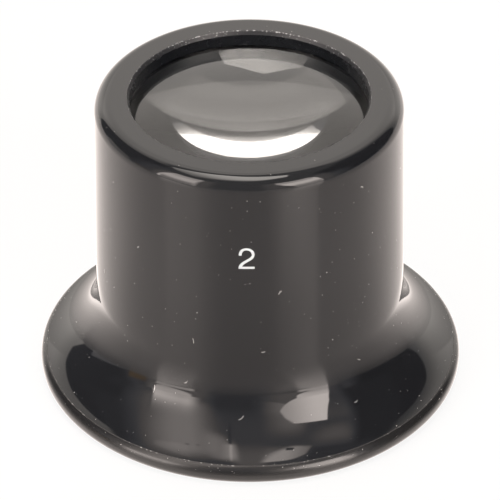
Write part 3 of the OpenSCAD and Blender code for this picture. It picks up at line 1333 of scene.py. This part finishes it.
@dataclass
class Studio:
    """Pale table, soft lamps, dark flags and a light sweep behind."""

    floor_r: float = 3.0
    room: float = 0.45
    table: Colour = (0.74, 0.74, 0.725)
    table_index: float = 1.45
    table_gloss: float = 0.25
    table_white: float = 0.86
    # Inside the eyecup's mouth the table is painted: bright through the lens, as painted light falling through
    # it, and dim in the gloss, as painted shade under the loupe.
    mouth_edge: Point2 = (18.2 * MM, 19.2 * MM)
    under: Colour = (0.86, 0.85, 0.815)
    hollow: Colour = (0.36, 0.36, 0.35)
    sheets: tuple[Sheet, ...] = (LEFT_LAMP, RIGHT_LAMP, LEFT_FLAG, RIGHT_FLAG, WOODEN_BLOCK, LEFT_BOARD,
                                 LEFT_SHADE, FAR_CANOPY, CANOPY)
    table_light: float = 0.78
    # Painted light and shade on the table as the gloss sees it: darker next to the loupe, where its shadow
    # falls, and brighter just under the lip.
    pools: tuple[Pool, ...] = (
        Pool(0.14, radius=(26, 44)),
        Pool(0.3, radius=(80, 170)),
        Pool(0.24, aside=(10, 50)),
        Pool(0.29, aside=(68, 105)),
        Pool(1.0, radius=(150, 320), aside=(55, 85)),
        Pool(0.8, radius=(24, 20.5)),
        Pool(0.3, radius=(24, 20.5), aside=(60, 90)),
        Pool(0.02, turns=((9, 24), (46, 30))),
        Pool(0.58, radius=(33, 64), turns=((9, 24), (46, 30))),
        Pool(0.13, turns=((-12, -32), (-175, -140))),
    )
    sweep: tuple[Patch, ...] = (
        box((-66, 51), (-4, 61), 1.2, (2, 9, 1, 2)),
        box((-42, -26), (-10, 30), 0.45, (5, 10, 5, 10), adds=True),
        box((26, 44), (-10, 30), 0.35, (10, 12, 5, 10), adds=True),
        box((-40, 40), (48, 61), 0.4, (10, 10, 6, 2), adds=True),
    )
    sweep_top: Patch = box((-42, 42), (25.5, 60), 0.46, (9, 9, 0.35, 6), adds=True)
    overhead: Patch = Patch(
        ((0.24, -0.06), (0.19, 0.141), (-0.103, 0.319), (-0.408, 0.191), (-0.47, 0.03), (-0.45, -0.28),
         (0.1, -0.28)),
        6.6, (0.006, 0.004, 0.004, 0.006, 0.03, 0.16, 0.06), fade=((0.0, 0.0), (-0.485, -0.121)), least=0.3)

    def paper(self, shader: Shader, x: Value, y: Value) -> Socket:
        """Table top as the loupe's gloss and glass see it: its own light under a gloss.

        Args:
            shader: Shader of the table.
            x: Place across the table.
            y: Place along it.

        Returns:
            The shader's socket.
        """
        radius, turn = x.hypot(y) * (1 / MM), x.turn(0 - y)
        level: Number = self.table_light
        for pool in self.pools:
            level = level + pool.light(radius, turn)
        grazing = shader.node("ShaderNodeFresnel", inputs={"IOR": self.table_index}).outputs[0]
        gloss = shader.node("ShaderNodeBsdfGlossy", inputs={"Roughness": self.table_gloss}).outputs[0]
        return shader.choose(grazing, shader.emission(shader.light(level, dim=WARM)), gloss)

    def floor(self) -> None:
        """Builds the table top, which is clear to a camera under it."""
        material, shader = new_material("white_table")
        x, y, _ = shader.parts(shader.place())
        # Inside the mouth: painted light where the lens looks through, painted shade where the gloss mirrors
        # it.
        hollow = shader.mix(shader.ray(Ray.TRANSMISSION), self.hollow, self.under)
        outside = x.hypot(y).step(*self.mouth_edge)
        mirrored = shader.choose(outside, shader.emission(hollow), self.paper(shader, x, y))
        diffuse = shader.node("ShaderNodeBsdfDiffuse", inputs={"Color": self.table}).outputs[0]
        lit = shader.choose(shader.ray(Ray.GLOSSY, Ray.TRANSMISSION), diffuse, mirrored)
        camera = shader.ray(Ray.CAMERA)
        pale = shader.choose(camera * self.table_white, lit, shader.emission(WHITE))
        below = Value(shader, shader.node("ShaderNodeNewGeometry").outputs["Backfacing"]) * camera
        clear = shader.node("ShaderNodeBsdfTransparent").outputs[0]
        shader.surface(shader.choose(below, pale, clear))
        work = bmesh.new()
        bmesh.ops.create_circle(work, cap_ends=True, segments=96, radius=self.floor_r)
        table = add_built("table_top", work, material)

    def world(self) -> None:
        """Lights the room: dim in front, a light sweep behind, and a soft lamp overhead."""
        world = bpy.data.worlds.new("room")
        bpy.context.scene.world = world
        world.use_nodes = True
        shader = Shader(world.node_tree)
        x, y, z = shader.parts(shader.place("Generated"))
        back = x.turn(y)
        behind = shader.vector(back, z.turn(x.hypot(y)), 0.0)
        wall = shader.vector(back, z.turn(y.most(0.001)), 0.0)
        level: Number = self.room
        for patch in self.sweep:
            level = patch.over(shader, behind, level)
        level = self.sweep_top.over(shader, wall, level)
        lamp = self.overhead.over(shader, shader.vector(x, y, 0.0), 0.0) * (z > 0.0)
        lit, white = (
            shader.node("ShaderNodeBackground", inputs={"Color": colour, "Strength": 1.0}).outputs[0]
            for colour in (shader.light(level.most(lamp), ROOM, PAPER), WHITE)
        )
        shader.node("ShaderNodeOutputWorld", inputs={0: shader.choose(shader.ray(Ray.CAMERA), lit, white)})

    def build(self) -> None:
        """Builds the whole studio."""
        self.floor()
        self.world()
        for sheet in self.sheets:
            sheet.build()
        log.info("studio: table, room and %d sheets", len(self.sheets))


@dataclass
class Viewpoint:
    """The camera, at the photograph's viewing angle."""

    elevation: float = 35.35
    distance: float = 330 * MM
    target: tuple[float, float, float] = (0.014 * MM, 0.0, 12.2 * MM)
    lens: float = 255.13
    sensor: float = 36
    clips: Point2 = (0.01, 50)
    roll: float = -0.279

    def build(self) -> None:
        """Builds the camera and makes it the scene's."""
        back = direction(0.0, self.elevation)
        up = direction(180.0, 90 - self.elevation)
        right = Vector((1.0, 0.0, 0.0))
        cosine, sine = polar(1.0, self.roll)
        data = bpy.data.cameras.new("camera")
        data.lens = self.lens
        data.sensor_width = self.sensor
        data.clip_start, data.clip_end = self.clips
        camera = bpy.data.objects.new("camera", data)
        place = Matrix((right * cosine + up * sine, up * cosine - right * sine, back)).transposed().to_4x4()
        place.translation = Vector(self.target) + back * self.distance
        camera.matrix_world = place
        bpy.context.scene.collection.objects.link(camera)
        bpy.context.scene.camera = camera
        log.info("camera: %.0f mm away at %.1f degrees", self.distance / MM, self.elevation)


def main() -> None:
    """Builds the camera, the pieces and the studio."""
    logging.basicConfig(level=logging.INFO, format="%(name)s: %(message)s")
    bpy.context.scene.view_settings.view_transform = "Standard"
    Viewpoint().build()
    body = MouldedBody()
    body.build()
    Lens().build()
    RetainingRing().dress()
    Numeral(body).build()
    Dust(body).build()
    Studio().build()


if __name__ == "__main__":
    main()
